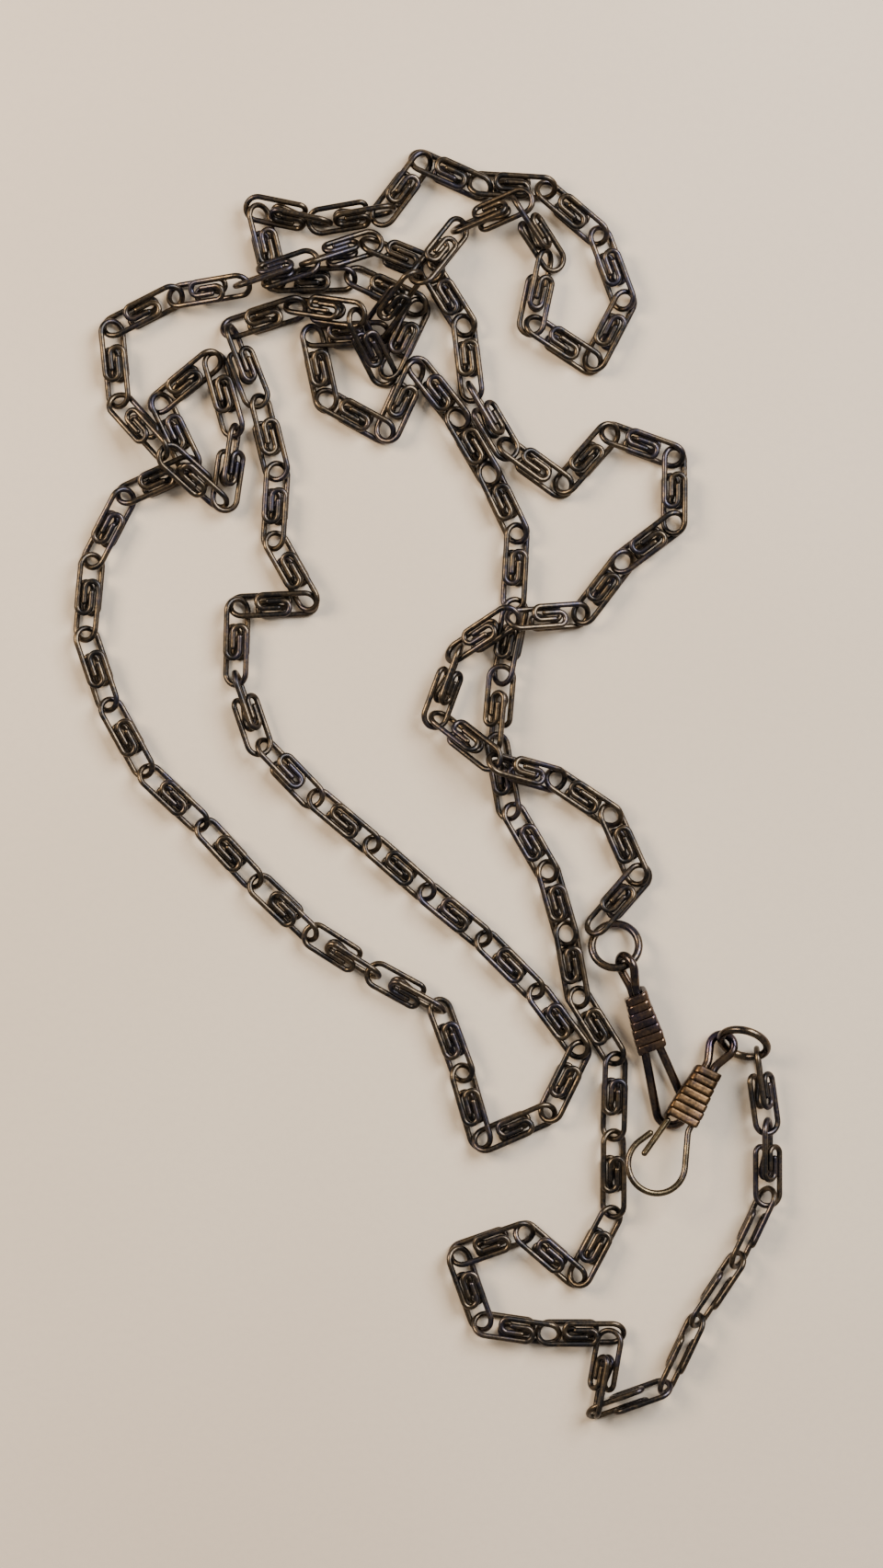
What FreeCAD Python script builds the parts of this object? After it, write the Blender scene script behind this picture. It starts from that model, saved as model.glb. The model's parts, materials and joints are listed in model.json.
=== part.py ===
import FreeCAD, Part
import math
import os
from FreeCAD import Vector

# A long dress chain for a pocket watch: scroll links bent from one round wire
# each, a jump ring at each end, and a wire-bound clasp on each ring.  It lies
# loosely heaped on a table.  Millimetres, +Z up.  The origin is on the table,
# under the middle of the heap's footprint.

# ---------------- driving sizes ----------------
WIRE = 0.85              # round wire of a link
LINK_LENGTH = 13.7       # over the two end loops
LEG_HALF = 1.52          # middle line of the link to the centre of an outer leg
STROKE_HALF = 0.51       # middle line to the centre of an inner stroke
FACE_GAP = 1.11          # clear space between the front wires and the back wires
HOOK_REACH = 1.4         # middle of the link to where a front hook starts to turn
TIP_REACH = 0.75         # middle of the link to where a stroke's end starts to round
SCROLL_TURN = 0.98       # bend radius of the scroll on the back
SCROLL_LEAN = 20.0       # degrees that the back's middle stroke leans

STRAND_AIR = 0.12        # least space kept between strands that pass each other
LOOSE_AIR = 0.15         # play left in a joint that is pulled tight

RING_WIRE = 1.2          # jump rings
RING_OUTER = 8.2

EYE_WIRE = 1.3           # the shackle at the top of a clasp
BIND_WALL = 0.75         # thickness of the flattened binding wire
BIND_WIDTH = 1.42        # width of the binding wire, along the clasp
BIND_TURNS = 7
BIND_OVERLAP = 0.03      # neighbouring turns are pressed into each other
FIT_AIR = 0.06           # space between a bound wire and its binding

CATCH_WIRE = 1.3         # the closed loop of the catch
CATCH_LOOP_OUTER = 5.8
CATCH_LOOP_REACH = 12.4  # past the binding
HOOK_WIRE = 0.95         # the thin spring hook
HOOK_OUTER = 9.5
HOOK_PAST = 11.8         # past the binding

FLAT_HALF = (FACE_GAP + WIRE) / 2
LOOP_RADIUS = math.hypot(LEG_HALF, FLAT_HALF)
APEX = (LINK_LENGTH - WIRE) / 2
LOOP_START = APEX - LOOP_RADIUS
TIGHT_PITCH = 2 * APEX - WIRE - LOOSE_AIR
LINK_WIDE = 2 * LEG_HALF + WIRE
LINK_THICK = 2 * FLAT_HALF + WIRE


def unit(v):
    return Vector(v).normalize()


def line(a, b):
    return Part.LineSegment(Vector(*a), Vector(*b)).toShape()


def arc(a, middle, b):
    return Part.Arc(Vector(*a), Vector(*middle), Vector(*b)).toShape()


def wire_along(edges, diameter):
    """A round wire swept along tangent lines and arcs, its cut ends domed."""
    first = edges[0]
    start, heading = first.valueAt(first.FirstParameter), first.tangentAt(first.FirstParameter)
    section = Part.Wire(Part.makeCircle(diameter / 2, start, heading))
    solid = Part.Wire(edges).makePipeShell([section], True, False)
    for flat in [f for f in solid.Faces if isinstance(f.Surface, Part.Plane)]:
        outward = flat.normalAt(0, 0)
        dome = Part.makeSphere(diameter / 2, flat.CenterOfMass, outward, 0, 90, 360)
        solid = solid.fuse(dome)
    return solid


# ---------------- the scroll link ----------------
# Its own frame: x along the chain, y across, z out of its front face.  One
# wire makes, in order: a front hook, an end loop, the S-shaped back, the other
# end loop and the other front hook.  The two halves are alike, half a turn
# apart about z, so the end loops lean opposite ways and neighbours interlock.
def half_turned(p):
    return (-p[0], -p[1], p[2])


def link_edges():
    h, a, b = FLAT_HALF, LEG_HALF, STROKE_HALF
    hook_r = (a + b) / 2
    lean = math.radians(SCROLL_LEAN)
    turn_y = a - SCROLL_TURN
    turn_x = (SCROLL_TURN - turn_y * math.cos(lean)) / math.sin(lean)
    mid = -lean / 2
    bend_mid = (turn_x + SCROLL_TURN * math.cos(mid), turn_y + SCROLL_TURN * math.sin(mid), -h)
    bend_end = (turn_x - SCROLL_TURN * math.sin(lean), turn_y - SCROLL_TURN * math.cos(lean), -h)
    tip = (-TIP_REACH, b, h)
    hook_in = (HOOK_REACH, b, h)
    hook_mid = (HOOK_REACH + hook_r, (b - a) / 2, h)
    hook_out = (HOOK_REACH, -a, h)
    front = (-LOOP_START, -a, h)
    apex = (-APEX, 0, 0)
    back = (-LOOP_START, a, -h)
    bend_in = (turn_x, a, -h)
    return [
        line(tip, hook_in),
        arc(hook_in, hook_mid, hook_out),
        line(hook_out, front),
        arc(front, apex, back),
        line(back, bend_in),
        arc(bend_in, bend_mid, bend_end),
        line(bend_end, half_turned(bend_end)),
        arc(half_turned(bend_end), half_turned(bend_mid), half_turned(bend_in)),
        line(half_turned(bend_in), half_turned(back)),
        arc(half_turned(back), half_turned(apex), half_turned(front)),
        line(half_turned(front), half_turned(hook_out)),
        arc(half_turned(hook_out), half_turned(hook_mid), half_turned(hook_in)),
        line(half_turned(hook_in), half_turned(tip)),
    ]


LINK = wire_along(link_edges(), WIRE)

# ---------------- how the chain lies ----------------
# The joints between links, in order from the hook's ring to the catch's ring,
# as x, y on the table, the level (0 on the table, 1 on top of one strand), and
# the roll in degrees of the link that starts there (0 face up, -90 on edge).
# Drawn for links that pull 12 mm apart, and spread in proportion to the links.
DRAWN_PITCH = 12.0

HOOK_TAIL = [
    (49.5, -40.5, 0.3, -80), (51.5, -51.5, 0, -50), (51.5, -61.5, 0, -80), (47, -71, 0, -85),
    (41, -80, 0, -85), (35.5, -89.5, 0, -80), (25.5, -94, 0, -45), (29, -82.5, 0, -10),
    (19, -82, 0, 0), (9, -81, 0, 0), (5.5, -70, 0, 0), (15, -67, 0, 0), (23, -74, 0, 0),
    (28.5, -64, 0, 0), (28.5, -52.5, 0, 0),
]
RIGHT_STRAND = [
    (28.5, -41, 0, 0), (23.2, -31.5, 0.8, 0), (25.2, -21, 0.8, 0), (19, -14, 0, 0), (14, -4, 0, 0),
    (10.5, 6, 0, -60), (11, 16, 0, -25), (13, 27, 0, 0), (14, 38, 0, 0), (10, 46.5, 0, 0),
    (4, 55, 0, 0),
]
TANGLE_IN = [
    (-3, 63.5, 0.3, 0), (-5, 53, 0.3, 0), (-14.5, 58, 0.5, 0), (-14, 66.5, 1.3, 0),
    (-4, 65.5, 1.5, 0), (-1, 75.5, 2, 0), (6, 83.5, 1, -60), (15, 88, 1, -60), (18.5, 78.5, 1, -30),
    (16, 69, 1.3, 0), (26, 63, 1.3, 0), (30, 72.5, 1, 0), (26.5, 82, 0.6, 0), (18, 88, 0.3, -30),
    (8.5, 89, 0, 0), (-0.5, 92.5, 0, 0), (-7.5, 85.5, 0, -60), (-16, 81.5, 0, -60),
    (-24.5, 85.5, 0, -25), (-19.5, 77.5, 0.3, 0), (-12, 74, 0.2, 0), (-1.5, 71.5, 0.6, 0),
    (-6, 61.5, 2, 0), (-9, 71, 2.2, 0), (-18.5, 73, 0.8, 0), (-29, 68, 0, -60), (-25, 57, 0, -25),
    (-22, 46.5, 0, 0), (-22.5, 36.5, 0.4, 0), (-17, 27, 1, 0), (-27.5, 27, 0.5, 0),
]
LONG_STRAND = [
    (-28, 16, 0, -70), (-24, 5.5, 0, -35), (-16, -2, 0, 0), (-7.5, -9, 0, 0), (0.5, -16, 0, 0),
    (9, -23, 0, 0), (17, -31, 0, 0), (24, -39.5, 0, 0), (19, -49, 0.3, 0), (8.5, -53.5, 0, 0),
    (6, -43, 0, 0), (2.5, -33.5, 0, -50), (-7.5, -28, 0, -60), (-16.5, -22.5, 0, -30),
    (-25, -14.5, 0, 0), (-33, -6, 0, 0), (-41.5, 2, 0, 0), (-47, 12, 0, 0), (-50.5, 22.5, 0, 0),
    (-49.5, 33.5, 0, 0),
]
LEFT_CURLS = [
    (-44.5, 43, 0.3, 0), (-34, 47, 0.6, 0), (-40, 56.5, 0.6, 0), (-31.5, 63.5, 0.6, 0),
    (-28.5, 53, 0.6, -50), (-30.5, 42, 0.6, -20), (-37, 51, 1.2, 0), (-45.5, 57.5, 0.6, 0),
    (-46.5, 68.5, 0, 0), (-37.5, 73, 0.3, 0), (-26.5, 74.5, 1, -50), (-17, 78, 1, -60),
    (-7.5, 81, 1.2, -30),
]
MIDDLE_STRAND = [
    (1, 77.5, 1.2, 0), (5.5, 68.5, 1, 0), (7, 58.5, 1, -60), (12.5, 50, 0.8, -30),
    (21, 45, 0.3, 0), (28, 52.5, 0, 0), (37.5, 49, 0, 0), (37.5, 39, 0, 0), (30, 33.5, 0, 0),
    (24, 25.5, 0.3, 0), (14, 24.5, 0.7, 0), (5.5, 19.5, 0.7, -60), (2.5, 10, 0.4, -30),
    (10.5, 4, 1, 0), (19.5, 0.5, 0.3, 0), (28, -4.5, 0, 0), (32, -13.5, 0, 30), (27, -22, 0, 0),
]
PLAN = HOOK_TAIL + RIGHT_STRAND + TANGLE_IN + LONG_STRAND + LEFT_CURLS + MIDDLE_STRAND

# The two rings and clasps lie where they are put, and the chain settles round
# them: each is a straight piece from one point to the next.
SHORTEST_PITCH = 0.79      # of the tight pitch: the loops can't be pushed closer
TIGHTEST_FOLD = 0.95       # of the tight pitch, between a link's two neighbours' far ends
SETTLE_STEPS = 420
SINK = 0.06                # how far a joint sinks in one step
HOLD_PLAN = 0.03           # how strongly a joint keeps its place on the table


def half_sizes(roll):
    """Half the width and half the height of a link that is rolled this far."""
    c, s = abs(math.cos(math.radians(roll))), abs(math.sin(math.radians(roll)))
    return (
        LEG_HALF * c + FLAT_HALF * s + WIRE / 2,
        LEG_HALF * s + FLAT_HALF * c + WIRE / 2,
    )


def nearest(p, q, r, s):
    """The shares along p-q and r-s of the two points that come closest."""
    u = [b - a for a, b in zip(p, q)]
    v = [b - a for a, b in zip(r, s)]
    w = [a - b for a, b in zip(p, r)]
    a, b, c = (sum(x * x for x in u), sum(x * y for x, y in zip(u, v)), sum(y * y for y in v))
    d, e = sum(x * y for x, y in zip(u, w)), sum(x * y for x, y in zip(v, w))
    det = a * c - b * b
    t = min(1.0, max(0.0, (b * e - c * d) / det)) if det > 1e-9 else 0.5
    k = min(1.0, max(0.0, (b * t + e) / c))
    t = min(1.0, max(0.0, (b * k - d) / a))
    return t, k


def keep_apart(p, q, r, s, across, upright, movable):
    """Moves two straight pieces apart until they clear, as flattened tubes do."""
    scale = (1 / across, 1 / across, 1 / upright)
    ends = [[x * f for x, f in zip(point, scale)] for point in (p, q, r, s)]
    t, k = nearest(*ends)
    gap = [
        (1 - t) * ends[0][i] + t * ends[1][i] - (1 - k) * ends[2][i] - k * ends[3][i]
        for i in range(3)
    ]
    size = math.sqrt(sum(g * g for g in gap))
    if size >= 1:
        return
    if size < 1e-6:
        gap, size = [0, 0, 1], 1e-6
    shares = (1 - t, t, -(1 - k), -k)
    total = sum(w * w * m for w, m in zip(shares, movable))
    if total < 1e-9:
        return
    for point, w, m in zip((p, q, r, s), shares, movable):
        for i in range(3):
            point[i] += w * m / total * (1 - size) * gap[i] / size / scale[i] * 0.6


def keep_distance(p, q, least, most, p_moves, q_moves):
    gap = [b - a for a, b in zip(p, q)]
    size = math.sqrt(sum(g * g for g in gap))
    wanted = min(most, max(least, size))
    total = p_moves + q_moves
    if wanted == size or not total:
        return
    for i in range(3):
        step = (size - wanted) * gap[i] / size
        p[i] += step * p_moves / total
        q[i] -= step * q_moves / total


def settle(points, rolls, props):
    """The joints of the chain at rest: linked, clear of each other, on the table."""
    sizes = [half_sizes(r) for r in rolls]
    count = len(rolls)
    floor = [
        max(sizes[max(0, k - 1)][1], sizes[min(count - 1, k)][1]) for k in range(count + 1)
    ]
    plan = [p[:2] for p in points]
    held = {0, count}
    moves = [0.0 if k in held else 1.0 for k in range(count + 1)]
    near = []
    for step in range(SETTLE_STEPS):
        if step % 20 == 0:
            near = [
                (i, j)
                for i in range(count)
                for j in range(i + 2, count)
                if math.dist(points[i], points[j]) < 2.4 * TIGHT_PITCH
            ]
        for k in range(count + 1):
            if moves[k]:
                points[k][2] -= SINK
                for i in range(2):
                    points[k][i] += HOLD_PLAN * (plan[k][i] - points[k][i])
        for i, j in near:
            across = sizes[i][0] + sizes[j][0] + STRAND_AIR
            upright = sizes[i][1] + sizes[j][1] + STRAND_AIR
            ends = points[i], points[i + 1], points[j], points[j + 1]
            keep_apart(*ends, across, upright, (moves[i], moves[i + 1], moves[j], moves[j + 1]))
        for start, end, wide, tall in props:
            for i in range(1, count - 1):
                ends = points[i], points[i + 1], list(start), list(end)
                across = sizes[i][0] + wide + STRAND_AIR
                upright = sizes[i][1] + tall + STRAND_AIR
                keep_apart(*ends, across, upright, (moves[i], moves[i + 1], 0, 0))
        for k in range(count - 1):
            least = TIGHTEST_FOLD * TIGHT_PITCH
            keep_distance(points[k], points[k + 2], least, 1e9, moves[k], moves[k + 2])
        for k in range(count):
            least = SHORTEST_PITCH * TIGHT_PITCH
            keep_distance(points[k], points[k + 1], least, TIGHT_PITCH, moves[k], moves[k + 1])
        for k in range(count + 1):
            points[k][2] = max(points[k][2], floor[k])
    return points


# ---------------- easing the wires clear of each other ----------------
# Each link is a stiff body here, with its wire's centre line as a row of
# points.  Where two wires come too close the two links shift and rock apart,
# and a link that dips below the table is lifted where it dips.
EASE_STEPS = 110
POINT_STEP = 0.5           # between the points along a wire
EASE_SINK = 0.02
EASE_HOLD = 0.02
ROCK_LONG, ROCK_CROSS = 2.5, 14.0    # resistance to rocking, mm squared


def points_along(edges, gap):
    """Points along a wire's centre line, a chosen gap apart."""
    found = []
    for edge in edges:
        count = max(2, int(edge.Length / gap) + 1)
        found += [tuple(p) for p in edge.discretize(count + 1)[:-1]]
    return found + [tuple(edges[-1].discretize(2)[-1])]


class Stiff:
    """A stiff piece: where it is, which way it lies and the points of its wire."""

    def __init__(self, outline, radius, origin, forward, face, fixed=False):
        self.outline, self.radius, self.fixed = outline, radius, fixed
        self.at = list(origin)
        side = face.cross(forward)
        self.axes = [list(forward), list(side), list(face)]
        self.home = self.at[:2]
        self.refresh()

    def refresh(self):
        (fx, fy, fz), (sx, sy, sz), (nx, ny, nz) = self.axes
        ox, oy, oz = self.at
        self.points = [
            (
                ox + x * fx + y * sx + z * nx,
                oy + x * fy + y * sy + z * ny,
                oz + x * fz + y * sz + z * nz,
            )
            for x, y, z in self.outline
        ]
        rows = list(zip(*self.points))
        self.low = [min(row) - self.radius for row in rows]
        self.high = [max(row) + self.radius for row in rows]

    def lever(self, point, way):
        """How easily the piece gives way at a point, and how it rocks."""
        if self.fixed:
            return 0.0, None
        rx, ry, rz = (a - b for a, b in zip(point, self.at))
        nx, ny, nz = way
        turn = (ry * nz - rz * ny, rz * nx - rx * nz, rx * ny - ry * nx)
        eased, give = [0.0, 0.0, 0.0], 1.0
        for axis, stiff in zip(self.axes, (ROCK_LONG, ROCK_CROSS, ROCK_CROSS)):
            part = sum(a * b for a, b in zip(turn, axis))
            give += part * part / stiff
            for k in range(3):
                eased[k] += part / stiff * axis[k]
        return give, eased

    def shove(self, way, eased, amount):
        if self.fixed:
            return
        for k in range(3):
            self.at[k] += amount * way[k]
        wx, wy, wz = (amount * e for e in eased)
        turned = []
        for x, y, z in self.axes[:1] + self.axes[2:]:
            turned.append((x + wy * z - wz * y, y + wz * x - wx * z, z + wx * y - wy * x))
        forward, face = unit(turned[0]), Vector(*turned[1])
        face = unit(face - forward * face.dot(forward))
        self.axes = [list(forward), list(face.cross(forward)), list(face)]


def closest(one, other, reach):
    """The closest points of two wires' centre lines, if they come within reach."""
    low = [max(a, b) - reach for a, b in zip(one.low, other.low)]
    high = [min(a, b) + reach for a, b in zip(one.high, other.high)]
    if any(a > b for a, b in zip(low, high)):
        return None
    rows = []
    for piece in (one, other):
        rows.append([
            (k, p) for k, p in enumerate(piece.points)
            if low[0] < p[0] < high[0] and low[1] < p[1] < high[1] and low[2] < p[2] < high[2]
        ])
    best, where = 1e9, None
    for k, (x, y, z) in rows[0]:
        for m, (u, v, w) in rows[1]:
            far = (x - u) ** 2 + (y - v) ** 2 + (z - w) ** 2
            if far < best:
                best, where = far, (k, m)
    if where is None or best > (reach + POINT_STEP) ** 2:
        return None
    found = None
    for k in (where[0] - 1, where[0]):
        for m in (where[1] - 1, where[1]):
            if not (0 <= k < len(one.points) - 1 and 0 <= m < len(other.points) - 1):
                continue
            p, q = one.points[k], one.points[k + 1]
            r, s = other.points[m], other.points[m + 1]
            t, n = nearest(p, q, r, s)
            here = [a + (b - a) * t for a, b in zip(p, q)]
            there = [a + (b - a) * n for a, b in zip(r, s)]
            gap = math.dist(here, there)
            if found is None or gap < found[0]:
                found = gap, here, there
    return found if found and found[0] < reach else None


def ease(links, fixtures):
    """Shifts and rocks the links until their wires clear each other."""
    pieces = links + fixtures
    near = []
    for step in range(EASE_STEPS):
        late = step > 0.6 * EASE_STEPS
        if step % 10 == 0:
            near = [
                (a, b) for k, a in enumerate(links) for b in pieces[k + 1:]
                if all(x < y + 3 and u < v + 3 for x, y, u, v in zip(a.low, b.high, b.low, a.high))
            ]
        for link in links:
            if link.fixed:
                continue
            link.at[2] -= 0 if late else EASE_SINK
            for k in range(2):
                link.at[k] += 0 if late else EASE_HOLD * (link.home[k] - link.at[k])
            link.refresh()
        for one, other in near:
            clear = one.radius + other.radius + STRAND_AIR
            found = closest(one, other, clear)
            if not found:
                continue
            gap, here, there = found
            way = unit(Vector(*here) - Vector(*there)) if gap > 1e-6 else Vector(0, 0, 1)
            give, eased = one.lever(here, way)
            other_give, other_eased = other.lever(there, way)
            if give + other_give:
                push = 0.9 * (clear - gap) / (give + other_give)
                one.shove(way, eased, push)
                other.shove(way, other_eased, -push)
                one.refresh()
                other.refresh()
        for link in links:
            lowest = min(link.points, key=lambda p: p[2])
            dip = link.radius - lowest[2]
            if dip > 0 and not link.fixed:
                up = Vector(0, 0, 1)
                give, eased = link.lever(lowest, up)
                link.shove(up, eased, dip / give)
                link.refresh()


def frame_of(start, end, roll):
    """A link's middle, its forward direction and the direction its face looks."""
    forward = unit(end - start)
    face = Vector(0, 0, 1) - forward * forward.z
    turn = FreeCAD.Rotation(forward, roll)
    return (start + end) / 2, forward, turn.multVec(unit(face))


def placed(shape, origin, forward, face):
    side = face.cross(forward)
    matrix = FreeCAD.Matrix(
        forward.x, side.x, face.x, origin.x,
        forward.y, side.y, face.y, origin.y,
        forward.z, side.z, face.z, origin.z,
        0, 0, 0, 1,
    )
    moved = shape.copy()
    moved.Placement = FreeCAD.Placement(matrix).multiply(shape.Placement)
    return moved


SPREAD = TIGHT_PITCH / (DRAWN_PITCH - LOOSE_AIR)
LAYER = LINK_THICK + STRAND_AIR
ROLLS = [row[3] for row in PLAN[:-1]]
START = [
    [x * SPREAD, y * SPREAD, half_sizes(roll)[1] + level * LAYER] for x, y, level, roll in PLAN
]

# ---------------- jump rings ----------------
# A ring is one round wire bent to a circle, its cut ends butted.  It is placed
# by the two points where its wire carries its neighbours.
RING_RADIUS = (RING_OUTER - RING_WIRE) / 2
RING_SEAM = 0.1            # between the butted ends
SEAM_TURN = 75.0           # degrees from the first neighbour to the seam


def ring_frame(first, second, lean):
    """The middle of a ring through two points, and the directions in its plane."""
    chord = second - first
    out = Vector(-chord.y, chord.x, 0)
    out = unit(out - chord * (out.dot(chord) / chord.dot(chord)))
    out = FreeCAD.Rotation(chord, lean).multVec(out)
    middle = (first + second) / 2 + out * math.sqrt(RING_RADIUS**2 - chord.Length**2 / 4)
    spoke = unit(first - middle)
    axis = unit(chord.cross(out))
    return middle, spoke, axis


def ring_edges():
    gap = RING_SEAM / RING_RADIUS / 2
    turns = [math.radians(SEAM_TURN) + gap + k * (math.pi - gap) / 2 for k in range(5)]
    rim = [(RING_RADIUS * math.cos(t), RING_RADIUS * math.sin(t), 0) for t in turns]
    return [arc(*rim[0:3]), arc(*rim[2:5])]


def jump_ring():
    start = math.radians(SEAM_TURN) + RING_SEAM / RING_RADIUS / 2
    first = (RING_RADIUS * math.cos(start), RING_RADIUS * math.sin(start), 0)
    path = Part.Wire(ring_edges())
    heading = Vector(-math.sin(start), math.cos(start), 0)
    section = Part.Wire(Part.makeCircle(RING_WIRE / 2, Vector(*first), heading))
    return path.makePipeShell([section], True, False)


# ---------------- clasps ----------------
# Its own frame: the ring's wire passes through the eye at the origin, x runs
# down the clasp, z out of its flat side.  The eye's legs and the legs of the
# loop or hook lie inside one tight binding, the eye's in its first turns.
EYE_OUTER = 4.9
EYE_REACH = 6.0            # outside of the eye to the binding
EYE_LEG_HALF = 0.67
CATCH_LEG_HALF = 1.2
HOOK_LEG_HALF = 1.75
BEND = 2.2                 # radius where a leg leaves the binding
EYE_PLAY = 0.25            # play of the ring's wire in the eye
CATCH_EYE_ROLL = 60.0      # the catch's eye stands nearly on edge
HOOK_EYE_ROLL = 20.0
LEG_TURNS = 2.4            # binding turns that hold a pair of legs
BIND_START = EYE_REACH - EYE_WIRE - RING_WIRE / 2 - EYE_PLAY
BIND_PITCH = BIND_WIDTH - BIND_OVERLAP
BIND_LENGTH = BIND_TURNS * BIND_PITCH + BIND_OVERLAP
BIND_END = BIND_START + BIND_LENGTH
LEG_IN = LEG_TURNS * BIND_PITCH
HOOK_BACK = 6.3            # how far the hook's tip comes back from its end
GATE_LAP = 2.6             # how far the tongue and the tip lie side by side
GATE_AIR = 0.12
TONGUE_ROOT = 0.55         # binding to the start of the bending part of the tongue


def lean_out(leg_half, end_x, end_y, end_r):
    """The angle of a straight leg from its bend at the binding to a far arc."""
    far = math.hypot(end_x, leg_half + BEND - end_y)
    return math.asin((BEND + end_r) / far) - math.atan2(leg_half + BEND - end_y, end_x)


def drop_points(leg_half, end_r, reach):
    """Half of a drop-shaped loop: the ends of its bend, its straight and its end arc."""
    centre = reach - end_r
    turn = lean_out(leg_half, centre, 0, end_r)
    half_bend = (BEND * math.sin(turn / 2), leg_half + BEND * (1 - math.cos(turn / 2)))
    bent = (BEND * math.sin(turn), leg_half + BEND * (1 - math.cos(turn)))
    round_from = (centre - end_r * math.sin(turn), end_r * math.cos(turn))
    return half_bend, bent, round_from, turn


def drop_loop(leg_half, end_r, reach):
    """A closed drop: in at one leg, round its far end and back along the other."""
    half_bend, bent, round_from, _ = drop_points(leg_half, end_r, reach)
    side = [(-LEG_IN, leg_half), (0, leg_half), half_bend, bent, round_from]
    up = [(x, y, 0) for x, y in side]
    down = [(x, -y, 0) for x, y in side]
    return [
        line(up[0], up[1]),
        arc(up[1], up[2], up[3]),
        line(up[3], up[4]),
        arc(up[4], (reach, 0, 0), down[4]),
        line(down[4], down[3]),
        arc(down[3], down[2], down[1]),
        line(down[1], down[0]),
    ]


def spring_hook(leg_half, end_r, reach):
    """The hook: one leg out, round the far end, and back part of the way."""
    half_bend, bent, round_from, turn = drop_points(leg_half, end_r, reach)
    back = HOOK_BACK - end_r
    tip = (round_from[0] - back * math.cos(turn), -(round_from[1] - back * math.sin(turn)), 0)
    up = [(x, y, 0) for x, y in [(-LEG_IN, leg_half), (0, leg_half), half_bend, bent, round_from]]
    edges = [
        line(up[0], up[1]),
        arc(up[1], up[2], up[3]),
        line(up[3], up[4]),
        arc(up[4], (reach, 0, 0), (round_from[0], -round_from[1], 0)),
        line((round_from[0], -round_from[1], 0), tip),
    ]
    return edges, tip, turn


def gate_tongue(leg_half, tip, turn):
    """The tongue: out of the binding and just inside the hook's tip, past it."""
    inward = HOOK_WIRE + GATE_AIR
    beside_x = tip[0] - TONGUE_ROOT + inward * math.sin(turn)
    beside_y = -tip[1] - inward * math.cos(turn)
    lean = lean_out(leg_half, beside_x, beside_y, 0)
    end_x = beside_x + GATE_LAP * math.cos(lean)
    end_y = beside_y + GATE_LAP * math.sin(lean)
    half_bend = (BEND * math.sin(lean / 2), -leg_half - BEND * (1 - math.cos(lean / 2)), 0)
    bent = (BEND * math.sin(lean), -leg_half - BEND * (1 - math.cos(lean)), 0)
    root = (TONGUE_ROOT, -leg_half, 0)
    shift = Vector(TONGUE_ROOT, 0, 0)
    half_bend, bent = (tuple(Vector(*p) + shift) for p in (half_bend, bent))
    return [arc(root, half_bend, bent), line(bent, (end_x + TONGUE_ROOT, -end_y, 0))], root


def rounded_bar(half_y, half_z, corner, start, length):
    """A bar along x with a rounded rectangular section."""
    y, z = half_y - corner, half_z - corner
    c = corner * math.sqrt(0.5)
    edges = [
        line((start, y, half_z), (start, -y, half_z)),
        arc((start, -y, half_z), (start, -y - c, z + c), (start, -half_y, z)),
        line((start, -half_y, z), (start, -half_y, -z)),
        arc((start, -half_y, -z), (start, -y - c, -z - c), (start, -y, -half_z)),
        line((start, -y, -half_z), (start, y, -half_z)),
        arc((start, y, -half_z), (start, y + c, -z - c), (start, half_y, -z)),
        line((start, half_y, -z), (start, half_y, z)),
        arc((start, half_y, z), (start, y + c, z + c), (start, y, half_z)),
    ]
    return Part.Face(Part.Wire(edges)).extrude(Vector(length, 0, 0))


def binding(eye_roll, leg_half, leg_wire):
    """The binding: flat wire wound tight, its turns growing towards the loop."""
    turn = math.radians(eye_roll)
    first_y = EYE_LEG_HALF * math.cos(turn) + EYE_WIRE / 2 + FIT_AIR
    first_z = EYE_LEG_HALF * math.sin(turn) + EYE_WIRE / 2 + FIT_AIR
    last_y = max(first_y, leg_half + leg_wire / 2 + FIT_AIR)
    coil = None
    for k in range(BIND_TURNS):
        share = max(0.0, (k - 1) / (BIND_TURNS - math.ceil(LEG_TURNS) - 1))
        inner_y = first_y + (last_y - first_y) * min(1.0, share)
        start = BIND_START + k * BIND_PITCH
        outer_y, outer_z = inner_y + BIND_WALL, first_z + BIND_WALL
        outer = rounded_bar(outer_y, outer_z, 1.1 * BIND_WALL, start, BIND_WIDTH)
        flats = [f for f in outer.Faces if isinstance(f.Surface, Part.Plane)]
        ends = [f for f in flats if abs(f.normalAt(0, 0).x) > 0.9]
        outer = outer.makeFillet(0.45 * BIND_WALL, [e for f in ends for e in f.Edges])
        inner = rounded_bar(inner_y, first_z, 0.3 * BIND_WALL, start - 1, BIND_WIDTH + 2)
        band = outer.cut(inner)
        coil = band if coil is None else coil.fuse(band)
    return coil.removeSplitter(), first_z + BIND_WALL


def eye_outline():
    """The eye's centre line, its loop towards -x."""
    return drop_loop(EYE_LEG_HALF, (EYE_OUTER - EYE_WIRE) / 2, EYE_REACH - EYE_WIRE / 2)


def eye_solid(roll):
    return seated_eye(wire_along(eye_outline(), EYE_WIRE), roll)


def seated_eye(shape, roll):
    """Turns an eye about to point up the clasp, rolls it and seats it in the binding."""
    moved = shape.copy()
    moved.rotate(Vector(0, 0, 0), Vector(0, 0, 1), 180)
    moved.rotate(Vector(0, 0, 0), Vector(1, 0, 0), roll)
    moved.translate(Vector(BIND_START, 0, 0))
    return moved


def beyond_binding(shape):
    moved = shape.copy()
    moved.translate(Vector(BIND_END, 0, 0))
    return moved


CATCH_REACH = CATCH_LOOP_REACH - CATCH_WIRE / 2
HOOK_REACH_OUT = HOOK_PAST - HOOK_WIRE / 2


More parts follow.
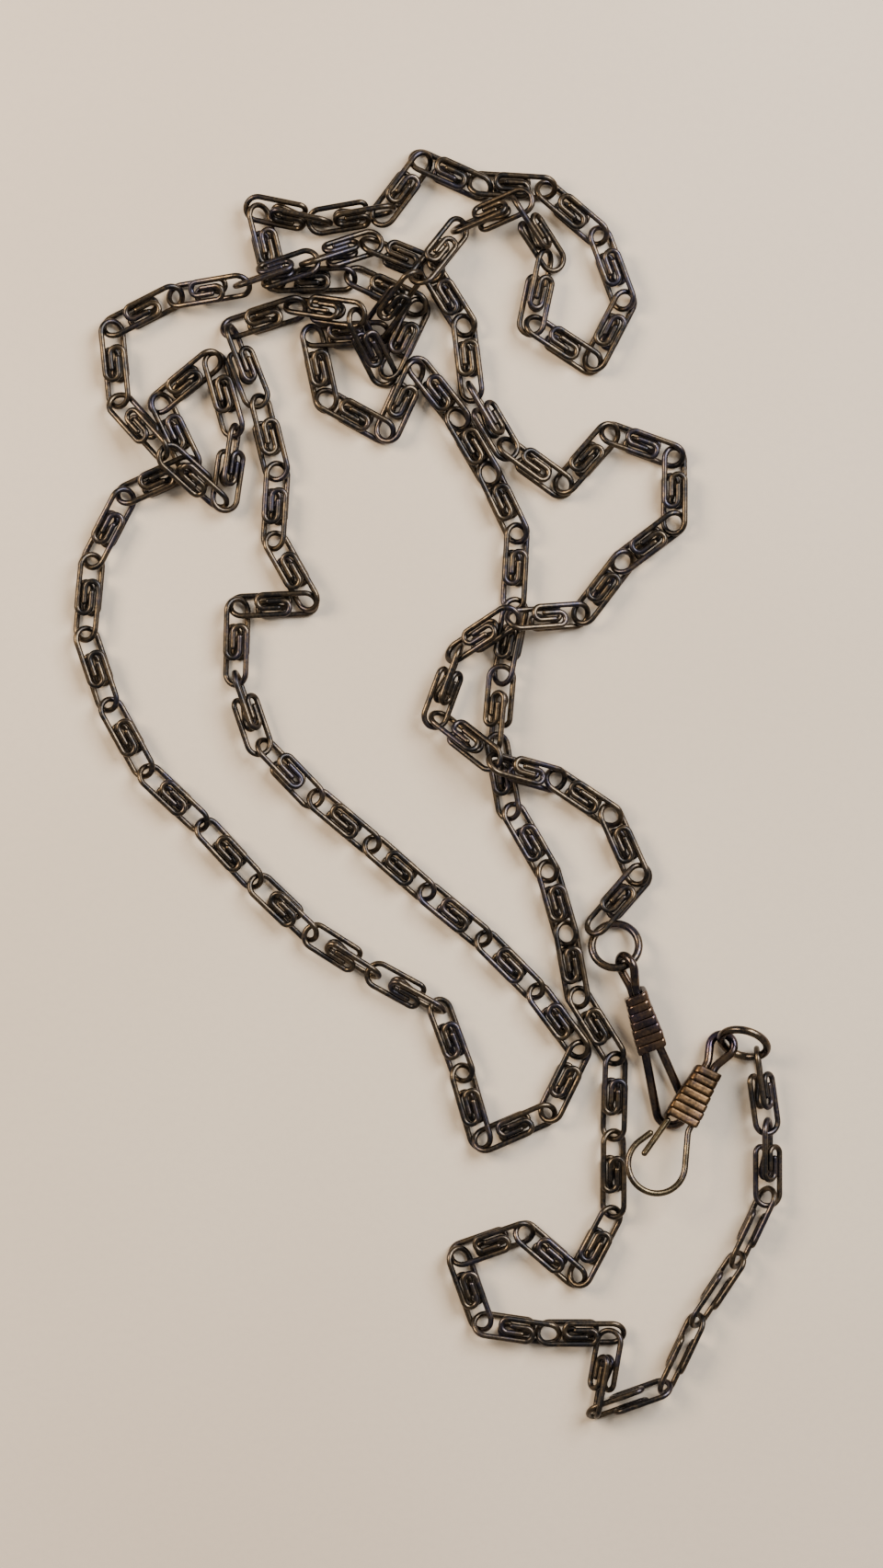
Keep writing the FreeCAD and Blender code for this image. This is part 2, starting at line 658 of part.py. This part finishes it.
# ---------------- where the rings and clasps lie ----------------
# A clasp lies by its eye, its heading on the table and its slope.  The catch
# rests on the far edge of its binding and on the end of its loop.  The hook's
# clasp rests its binding on the catch's loop.
CATCH_EYE_HEADING = -55.1  # degrees, from the end link's grip to the eye
CATCH_RING_SHARE = 0.995   # share of the ring's diameter between link and eye
CATCH_HEADING = -72.5
CATCH_LINK_AT = (26.6, -21.6, 1.1)
HOOK_EYE_HEADING = 160.9
HOOK_EYE_Z = 2.1
HOOK_RING_SHARE = 0.786
HOOK_HEADING = -120.0
HOOK_SLOPE = 11.5          # degrees that the hook's end rises
HOOK_LINK_AT = (50.0, -40.6, 2.0)
CATCH_RING_LEAN = -10.0
HOOK_RING_LEAN = 55.0

catch_binding, catch_half = binding(CATCH_EYE_ROLL, CATCH_LEG_HALF, CATCH_WIRE)
hook_binding, hook_half = binding(HOOK_EYE_ROLL, HOOK_LEG_HALF, HOOK_WIRE)
catch_slope = math.asin((catch_half - CATCH_WIRE / 2) / CATCH_REACH)
catch_eye_z = CATCH_WIRE / 2 + (BIND_END + CATCH_REACH) * math.sin(catch_slope) + 0.02


def across_ring(link_at, heading, height, share):
    """Where an eye hangs: its way from the link, its height and its share of the ring."""
    start = spread(link_at)
    rise = height - start.z
    level = math.sqrt((share * 2 * RING_RADIUS) ** 2 - rise**2)
    turn = math.radians(heading)
    return start + Vector(level * math.cos(turn), level * math.sin(turn), rise)


def spread(point):
    return Vector(point[0] * SPREAD, point[1] * SPREAD, point[2])


def lying(heading, slope):
    """Forward and face directions of a clasp; a positive slope rises forward."""
    turn = math.radians(heading)
    flat = Vector(math.cos(turn), math.sin(turn), 0)
    forward = flat * math.cos(slope) + Vector(0, 0, 1) * math.sin(slope)
    face = Vector(0, 0, 1) * math.cos(slope) - flat * math.sin(slope)
    return forward, face


catch_at = across_ring(CATCH_LINK_AT, CATCH_EYE_HEADING, catch_eye_z, CATCH_RING_SHARE)
catch_forward, catch_face = lying(CATCH_HEADING, -catch_slope)
hook_at = across_ring(HOOK_LINK_AT, HOOK_EYE_HEADING, HOOK_EYE_Z, HOOK_RING_SHARE)
hook_forward, hook_face = lying(HOOK_HEADING, math.radians(HOOK_SLOPE))
catch_ring = ring_frame(spread(CATCH_LINK_AT), catch_at, CATCH_RING_LEAN)
hook_ring = ring_frame(hook_at, spread(HOOK_LINK_AT), HOOK_RING_LEAN)


def outline_of(edges, moved):
    """The centre line of a clasp's wire, moved as its solid is."""
    return points_along([moved(edge) for edge in edges], POINT_STEP)


hook_edges, hook_tip, hook_turn = spring_hook(
    HOOK_LEG_HALF, (HOOK_OUTER - HOOK_WIRE) / 2, HOOK_REACH_OUT)
tongue_edges, tongue_root = gate_tongue(HOOK_LEG_HALF, hook_tip, hook_turn)
catch_edges = drop_loop(CATCH_LEG_HALF, (CATCH_LOOP_OUTER - CATCH_WIRE) / 2, CATCH_REACH)


def core_outline(half):
    """The binding as a thick wire, for keeping other pieces off it."""
    count = int((BIND_LENGTH - 2 * half) / POINT_STEP)
    rows = [BIND_START + half + k * POINT_STEP for k in range(count + 1)]
    return [(x, y, 0) for y in (-1, 0, 1) for x in rows]


def fixture(outline, radius, place):
    return Stiff(outline, radius, *place, fixed=True)


def catch_seated(edge):
    return seated_eye(edge, CATCH_EYE_ROLL)


def hook_seated(edge):
    return seated_eye(edge, HOOK_EYE_ROLL)


catch_place = (catch_at, catch_forward, catch_face)
hook_place = (hook_at, hook_forward, hook_face)
rim_outline = points_along(ring_edges(), POINT_STEP)
fixtures = [
    fixture(rim_outline, RING_WIRE / 2, catch_ring),
    fixture(rim_outline, RING_WIRE / 2, hook_ring),
    fixture(outline_of(eye_outline(), catch_seated), EYE_WIRE / 2, catch_place),
    fixture(outline_of(eye_outline(), hook_seated), EYE_WIRE / 2, hook_place),
    fixture(outline_of(catch_edges, beyond_binding), CATCH_WIRE / 2, catch_place),
    fixture(outline_of(hook_edges, beyond_binding), HOOK_WIRE / 2, hook_place),
    fixture(core_outline(catch_half), catch_half, catch_place),
    fixture(core_outline(hook_half), hook_half, hook_place),
]

# ---------------- the chain at rest ----------------
START[0] = list(spread(HOOK_LINK_AT))
START[-1] = list(spread(CATCH_LINK_AT))
ring_across = catch_ring[1] * (RING_RADIUS - RING_WIRE / 2)
ring_bar = (catch_ring[0] - ring_across, catch_ring[0] + ring_across, RING_RADIUS, RING_WIRE * 2 / 3)
joints = [Vector(*p) for p in settle(START, ROLLS, [ring_bar])]
outline = points_along(link_edges(), POINT_STEP)
links = [
    Stiff(outline, WIRE / 2, *frame_of(joints[k], joints[k + 1], ROLLS[k]))
    for k in range(len(ROLLS))
]
ease(links, fixtures)

# ---------------- the pieces ----------------
# The end of the chain by the hook, and the end by the catch, lie free, so each
# of their links is a piece by itself.  The rest lies heaped, a few links a group.
HOOK_END_LINKS = 7
CATCH_END_LINKS = 3
GROUP = 3


def link_solid(link):
    return placed(LINK, Vector(*link.at), Vector(*link.axes[0]), Vector(*link.axes[2]))


def clasp_piece(shape, place):
    return placed(shape, *place)


catch_loop = wire_along(catch_edges, CATCH_WIRE)
hook_wire = wire_along(hook_edges, HOOK_WIRE)
hook_tongue = wire_along(tongue_edges, HOOK_WIRE)

pieces = {
    "catch_ring": placed(jump_ring(), *catch_ring),
    "catch_eye": clasp_piece(eye_solid(CATCH_EYE_ROLL), catch_place),
    "catch_binding": clasp_piece(catch_binding, catch_place),
    "catch_loop": clasp_piece(beyond_binding(catch_loop), catch_place),
    "hook_ring": placed(jump_ring(), *hook_ring),
    "hook_eye": clasp_piece(eye_solid(HOOK_EYE_ROLL), hook_place),
    "hook_binding": clasp_piece(hook_binding, hook_place),
    "spring_hook": clasp_piece(beyond_binding(hook_wire), hook_place),
    "hook_tongue": clasp_piece(beyond_binding(hook_tongue), hook_place),
}
count = len(links)
for k in range(HOOK_END_LINKS):
    pieces[f"hook_end_link_{k + 1}"] = link_solid(links[k])
for k in range(CATCH_END_LINKS):
    pieces[f"catch_end_link_{k + 1}"] = link_solid(links[count - 1 - k])
heap = links[HOOK_END_LINKS:count - CATCH_END_LINKS]
for first in range(0, len(heap), GROUP):
    group = [link_solid(link) for link in heap[first:first + GROUP]]
    pieces[f"heap_links_{first // GROUP + 1:02d}"] = Part.makeCompound(group)

# The origin is on the table under the middle of the footprint.
wires = links + fixtures
low = [min(wire.low[k] for wire in wires) for k in range(3)]
high = [max(wire.high[k] for wire in wires) for k in range(2)]
shift = Vector(-(low[0] + high[0]) / 2, -(low[1] + high[1]) / 2, -low[2])
os.makedirs("parts", exist_ok=True)
for name, shape in pieces.items():
    shape.translate(shift)
    shape.exportStep("parts/" + name + ".step")
footprint = [round(b - a, 1) for a, b in zip(low, high)]
print(len(pieces), "pieces,", count, "links, footprint", *footprint)
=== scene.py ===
import json
import math

import bmesh
import bpy
from mathutils import Matrix, Vector


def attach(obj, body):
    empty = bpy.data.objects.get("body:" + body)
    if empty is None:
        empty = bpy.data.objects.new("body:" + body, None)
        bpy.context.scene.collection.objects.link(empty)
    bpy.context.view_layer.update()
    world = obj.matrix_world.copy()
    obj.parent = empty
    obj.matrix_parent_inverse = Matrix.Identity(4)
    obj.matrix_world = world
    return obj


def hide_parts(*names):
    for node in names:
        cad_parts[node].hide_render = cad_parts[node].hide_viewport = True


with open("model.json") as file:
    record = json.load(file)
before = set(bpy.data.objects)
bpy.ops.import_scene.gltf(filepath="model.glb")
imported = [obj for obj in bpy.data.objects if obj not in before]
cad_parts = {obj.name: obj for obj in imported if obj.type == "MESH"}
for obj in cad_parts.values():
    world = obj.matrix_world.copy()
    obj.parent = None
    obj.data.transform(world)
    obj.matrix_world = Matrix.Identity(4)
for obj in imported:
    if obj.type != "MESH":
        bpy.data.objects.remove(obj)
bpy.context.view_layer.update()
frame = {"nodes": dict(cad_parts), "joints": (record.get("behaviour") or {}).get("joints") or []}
nodes = frame["nodes"]
joints = {joint["name"]: joint for joint in frame["joints"]}

# ---------------- camera ----------------
# Looks straight down on the table, upright, with the whole chain in view.
VIEW_HEIGHT = 0.2352
VIEW_CENTRE_X = 0.0021
CAMERA_RISE = 0.55
eye = bpy.data.cameras.new("overhead")
eye.sensor_width = 36
eye.lens = eye.sensor_width * CAMERA_RISE / VIEW_HEIGHT
camera = bpy.data.objects.new("overhead", eye)
camera.location = (VIEW_CENTRE_X, 0.0, CAMERA_RISE)
bpy.context.collection.objects.link(camera)
bpy.context.scene.camera = camera


# ---------------- light ----------------
# A broad cool window light from the right and above, a warm lamp glow from the
# left, and a pale room all round.
def soft_light(name, place, size, energy, colour):
    lamp = bpy.data.lights.new(name, "AREA")
    lamp.size, lamp.energy, lamp.color = size, energy, colour
    held = bpy.data.objects.new(name, lamp)
    held.location = place
    held.rotation_euler = (-Vector(place)).to_track_quat("-Z", "Y").to_euler()
    bpy.context.collection.objects.link(held)


soft_light("window", (0.38, 0.30, 0.50), 0.42, 8.6, (0.95, 0.97, 1.0))
soft_light("lamp", (-0.42, 0.20, 0.40), 0.26, 5.0, (1.0, 0.82, 0.60))
room = bpy.data.worlds.new("room")
room.use_nodes = True
walls = room.node_tree.nodes["Background"].inputs
walls["Color"].default_value = (0.96, 0.94, 0.92, 1)
walls["Strength"].default_value = 0.33
bpy.context.scene.world = room


# ---------------- table ----------------
# A pale beige laminate table top with a faint grain.  It is only the floor the
# chain lies on.  Its finish starts the shader maths that every finish below uses.
class Shade:
    """A number or colour that varies over a surface, so finishes read as sums."""

    def __init__(self, tree, socket=None):
        self.tree, self.socket = tree, socket

    def node(self, kind, settings=None, inputs=None, out=0):
        made = self.tree.nodes.new(kind)
        for name, value in (settings or {}).items():
            setattr(made, name, value)
        for key, value in (inputs or {}).items():
            if isinstance(value, Shade):
                self.tree.links.new(value.socket, made.inputs[key])
            else:
                made.inputs[key].default_value = value
        return Shade(self.tree, made.outputs[out])

    def maths(self, operation, a, b):
        return self.node("ShaderNodeMath", {"operation": operation}, {0: a, 1: b})

    def __add__(self, other):
        return self.maths("ADD", self, other)

    def __sub__(self, other):
        return self.maths("SUBTRACT", self, other)

    def __mul__(self, other):
        return self.maths("MULTIPLY", self, other)

    def between(self, low, wear_and_highlight_mask):
        """0 below low, 1 above high and smooth between."""
        settings = {"interpolation_type": "SMOOTHSTEP"}
        inputs = {"Value": self, "From Min": low, "From Max": wear_and_highlight_mask}
        return self.node("ShaderNodeMapRange", settings, inputs)

    def mixed(self, first, second):
        """The first colour where this is 0, the second where it is 1."""
        factor, colour_a, colour_b, colour_out = 0, 6, 7, 2
        inputs = {factor: self, colour_a: first, colour_b: second}
        return self.node("ShaderNodeMix", {"data_type": "RGBA"}, inputs, colour_out)


def finish_of(name):
    """A new material: its principled shader and the start of its shader maths."""
    material = bpy.data.materials.new(name)
    material.use_nodes = True
    tree = material.node_tree
    return material, tree.nodes["Principled BSDF"].inputs, Shade(tree)


def spots(shade, scale, detail):
    """Noise in the piece's own coordinates, from 0 to 1."""
    place = shade.node("ShaderNodeTexCoord", out="Object")
    inputs = {"Vector": place, "Scale": scale, "Detail": detail}
    return shade.node("ShaderNodeTexNoise", {}, inputs)


def wire_up(shade, inputs, **links):
    """Feeds the shader's named sockets, with _ for a space."""
    for name, value in links.items():
        shade.tree.links.new(value.socket, inputs[name.replace("_", " ")])


laminate, top, shade = finish_of("table laminate")
cloud = spots(shade, 9.0, 2.0)
speck = spots(shade, 900.0, 2.0)
tone = cloud.between(0.3, 0.7).mixed((0.60, 0.488, 0.370, 1), (0.64, 0.53, 0.41, 1))
tone = (speck.between(0.35, 0.75) * 0.10).mixed(tone, (0.48, 0.40, 0.33, 1))
grain = shade.node("ShaderNodeBump", {}, {"Strength": 0.10, "Distance": 0.0002, "Height": speck})
wire_up(shade, top, Base_Color=tone, Normal=grain)
top["Roughness"].default_value = 0.62

TABLE_HALF = 1.2
flat = bmesh.new()
bmesh.ops.create_grid(flat, x_segments=2, y_segments=2, size=TABLE_HALF)
table_mesh = bpy.data.meshes.new("table")
flat.to_mesh(table_mesh)
flat.free()
table = bpy.data.objects.new("table", table_mesh)
table.data.materials.append(laminate)
bpy.context.collection.objects.link(table)


# ---------------- chain links ----------------
# Each link is one round brass wire curled into two hooks on its front and an S
# on its back.  The brass is bronzed dark, browner in places, with a blue and
# purple bloom in the hollows and a rubbed golden tone where links wear; that
# golden tone is laid only on upward-facing sides, so it is partly a painted highlight.
def bronzed(name, dark, brown, bloom, rubbed_and_highlight, wear_and_highlight, rough):
    """A dark bronzed brass: patchy patina, a rubbed golden tone on upward-facing spots that is
    partly a painted highlight, and a drawn grain.
    """
    material, top, shade = finish_of(name)
    patches = spots(shade, 330.0, 3.0)
    tint = spots(shade, 190.0, 1.0)
    mottle = spots(shade, 2400.0, 4.0)
    normal = shade.node("ShaderNodeNewGeometry", out="Normal")
    upward = shade.node("ShaderNodeSeparateXYZ", {}, {"Vector": normal}, "Z")
    tone = patches.between(0.38, 0.62).mixed(dark, brown)
    tone = (tint.between(0.52, 0.66) * 0.7).mixed(tone, bloom)
    # Rubbed golden tone only where the surface faces up: partly real wear, partly a painted
    # highlight from the lights above.
    wear_and_highlight_mask = upward.between(0.25, 0.95) * (patches * 0.6 + mottle * 0.7).between(0.55, 0.85)
    tone = (wear_and_highlight_mask * wear_and_highlight).mixed(tone, rubbed_and_highlight)
    roughness = mottle * 0.22 + (rough - 0.11) - wear_and_highlight_mask * 0.08
    bump_inputs = {"Strength": 0.25, "Distance": 0.00002, "Height": mottle}
    bump = shade.node("ShaderNodeBump", {}, bump_inputs)
    wire_up(shade, top, Base_Color=tone, Roughness=roughness, Normal=bump)
    top["Metallic"].default_value = 1.0
    return material


link_bronze = bronzed(
    "link bronze",
    dark=(0.029, 0.027, 0.027, 1),
    brown=(0.060, 0.046, 0.035, 1),
    bloom=(0.045, 0.041, 0.060, 1),
    rubbed_and_highlight=(0.20, 0.142, 0.080, 1),
    wear_and_highlight=0.5,
    rough=0.35,
)
for name, node in nodes.items():
    if "link" in name:
        node.material_slots[0].material = link_bronze

# ---------------- jump rings ----------------
# A round bronzed wire bent to a circle, its cut ends butted, that joins the end
# link to its clasp's eye.
ring_bronze = bronzed(
    "ring bronze",
    dark=(0.040, 0.035, 0.033, 1),
    brown=(0.084, 0.062, 0.045, 1),
    bloom=(0.056, 0.048, 0.070, 1),
    rubbed_and_highlight=(0.25, 0.17, 0.09, 1),
    wear_and_highlight=0.5,
    rough=0.28,
)
for name in ("catch_ring", "hook_ring"):
    nodes[name].material_slots[0].material = ring_bronze

# ---------------- clasp eyes and drop loop ----------------
# Thicker bronzed wire: a small shackle at the top of each clasp, and the long
# closed drop of the catch.  Their legs are held in the bindings.
heavy_bronze = bronzed(
    "heavy wire bronze",
    dark=(0.038, 0.032, 0.036, 1),
    brown=(0.080, 0.055, 0.045, 1),
    bloom=(0.058, 0.044, 0.085, 1),
    rubbed_and_highlight=(0.26, 0.17, 0.085, 1),
    wear_and_highlight=0.4,
    rough=0.24,
)
for name in ("catch_eye", "catch_loop", "hook_eye"):
    nodes[name].material_slots[0].material = heavy_bronze

# ---------------- spring hook and tongue ----------------
# Thin hard-drawn wire, a hook and the springy tongue that closes it.  It has
# kept more of its brass colour than the rest.
spring_brass = bronzed(
    "spring brass",
    dark=(0.052, 0.041, 0.027, 1),
    brown=(0.096, 0.071, 0.042, 1),
    bloom=(0.062, 0.051, 0.055, 1),
    rubbed_and_highlight=(0.25, 0.185, 0.100, 1),
    wear_and_highlight=0.5,
    rough=0.30,
)
for name in ("spring_hook", "hook_tongue"):
    nodes[name].material_slots[0].material = spring_brass

# ---------------- bindings ----------------
# Each clasp is held together by a flat brass wire wound tight round the legs of
# its eye and of its loop or hook, widening towards the loop or hook.  The spring
# clasp's turns are rubbed to a coppery tone laid on their upward-facing tops,
# so partly a painted highlight; the catch's have stayed dark.
BIND_START = 0.0038       # eye's pivot to the first turn
TURN_PITCH = 0.00126
TURN_WIDTH = 0.00125
WALL = 0.00075
TURNS = 7
SLOW_TURNS = 1.0          # turns that don't widen: one first, two last
RIM_POINTS = 20           # corners of the flat wire's section
SQUARENESS = 8            # power of the section's rounded box
BEND_STEPS = 5            # steps round each corner of a turn
BEND_RADIUS = 0.8 * WALL


def wound_wire(name, pivot, heading, slope, first_half, last_half, half_height):
    """One flat wire wound into a rounded box, its turns getting wider."""
    wound = bmesh.new()
    rim = bmesh.ops.create_circle(
        wound, cap_ends=True, segments=RIM_POINTS, radius=1)["verts"]
    face = rim[0].link_faces[0]
    up = half_height + WALL / 2
    for vert in rim:
        x, z = vert.co.x, vert.co.y
        squarer = (x**SQUARENESS + z**SQUARENESS) ** (-1 / SQUARENESS) / 2
        vert.co = (x * squarer * TURN_WIDTH, 0, z * squarer * WALL - up)
    bmesh.ops.translate(wound, verts=rim, vec=(BIND_START + TURN_WIDTH / 2, 0, 0))
    advance = TURN_PITCH / 8  # a turn is four straights and four bends
    ways = [(0, 1, 0), (0, 0, 1), (0, -1, 0), (0, 0, -1)]
    corners = [(1, -1), (1, 1), (-1, 1), (-1, -1)]
    for quarter in range(4 * TURNS):
        way, (side_y, side_z) = Vector(ways[quarter % 4]), corners[quarter % 4]
        share = (quarter / 4 - SLOW_TURNS) / (TURNS - 3 * SLOW_TURNS)
        half = first_half + (last_half - first_half) * min(1.0, max(0.0, share)) + WALL / 2
        bend_at = Vector((0, side_y * (half - BEND_RADIUS), side_z * (up - BEND_RADIUS)))
        length = (bend_at - face.calc_center_median()).dot(way)
        grown = bmesh.ops.extrude_face_region(wound, geom=[face])["geom"]
        verts = [part for part in grown if isinstance(part, bmesh.types.BMVert)]
        bmesh.ops.translate(wound, verts=verts, vec=way * length + Vector((advance, 0, 0)))
        ahead = next(part for part in grown if isinstance(part, bmesh.types.BMFace))
        turned = bmesh.ops.spin(
            wound, geom=[ahead], cent=bend_at, axis=(1, 0, 0),
            dvec=(advance / BEND_STEPS, 0, 0), angle=math.pi / 2, steps=BEND_STEPS)
        inside = [ahead] if quarter == 0 else [face, ahead]
        bmesh.ops.delete(wound, geom=inside, context="FACES_ONLY")
        last = turned["geom_last"]
        face = next(part for part in last if isinstance(part, bmesh.types.BMFace))
    bmesh.ops.recalc_face_normals(wound, faces=wound.faces)
    level = Vector((math.cos(heading), math.sin(heading), 0))
    along = level * math.cos(slope) + Vector((0, 0, math.sin(slope)))
    out = Vector((0, 0, math.cos(slope))) - level * math.sin(slope)
    axes = Matrix((along, out.cross(along), out)).transposed().to_4x4()
    bmesh.ops.transform(wound, matrix=Matrix.Translation(pivot) @ axes, verts=wound.verts)
    mesh = bpy.data.meshes.new(name)
    wound.to_mesh(mesh)
    wound.free()
    mesh.polygons.foreach_set("use_smooth", [True] * len(mesh.polygons))
    piece = bpy.data.objects.new(name, mesh)
    bpy.context.collection.objects.link(piece)
    return piece


# The coppery tone goes on the turns' upward-facing tops: partly rubbed brass, partly a painted
# highlight.
binding_copper = bronzed(
    "binding copper",
    dark=(0.032, 0.021, 0.013, 1),
    brown=(0.074, 0.043, 0.022, 1),
    bloom=(0.036, 0.027, 0.030, 1),
    rubbed_and_highlight=(0.155, 0.088, 0.038, 1),
    wear_and_highlight=0.8,
    rough=0.42,
)
binding_dark = bronzed(
    "binding dark bronze",
    dark=(0.045, 0.034, 0.034, 1),
    brown=(0.095, 0.060, 0.045, 1),
    bloom=(0.062, 0.048, 0.072, 1),
    rubbed_and_highlight=(0.28, 0.17, 0.09, 1),
    wear_and_highlight=0.45,
    rough=0.28,
)
hook_wound = wound_wire(
    "hook_wound_wire",
    pivot=Vector(joints["hook_clasp_turn"]["pos_m"]),
    heading=math.radians(-120),
    slope=math.radians(11.5),
    first_half=0.00134,
    last_half=0.00229,
    half_height=0.00094,
)
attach(hook_wound, "hook_clasp")
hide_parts("hook_binding")
hook_wound.data.materials.append(binding_copper)
catch_wound = wound_wire(
    "catch_wound_wire",
    pivot=Vector(joints["catch_clasp_turn"]["pos_m"]),
    heading=math.radians(-72.5),
    slope=math.radians(-6.8),
    first_half=0.00105,
    last_half=0.00191,
    half_height=0.00129,
)
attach(catch_wound, "catch_clasp")
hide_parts("catch_binding")
catch_wound.data.materials.append(binding_dark)
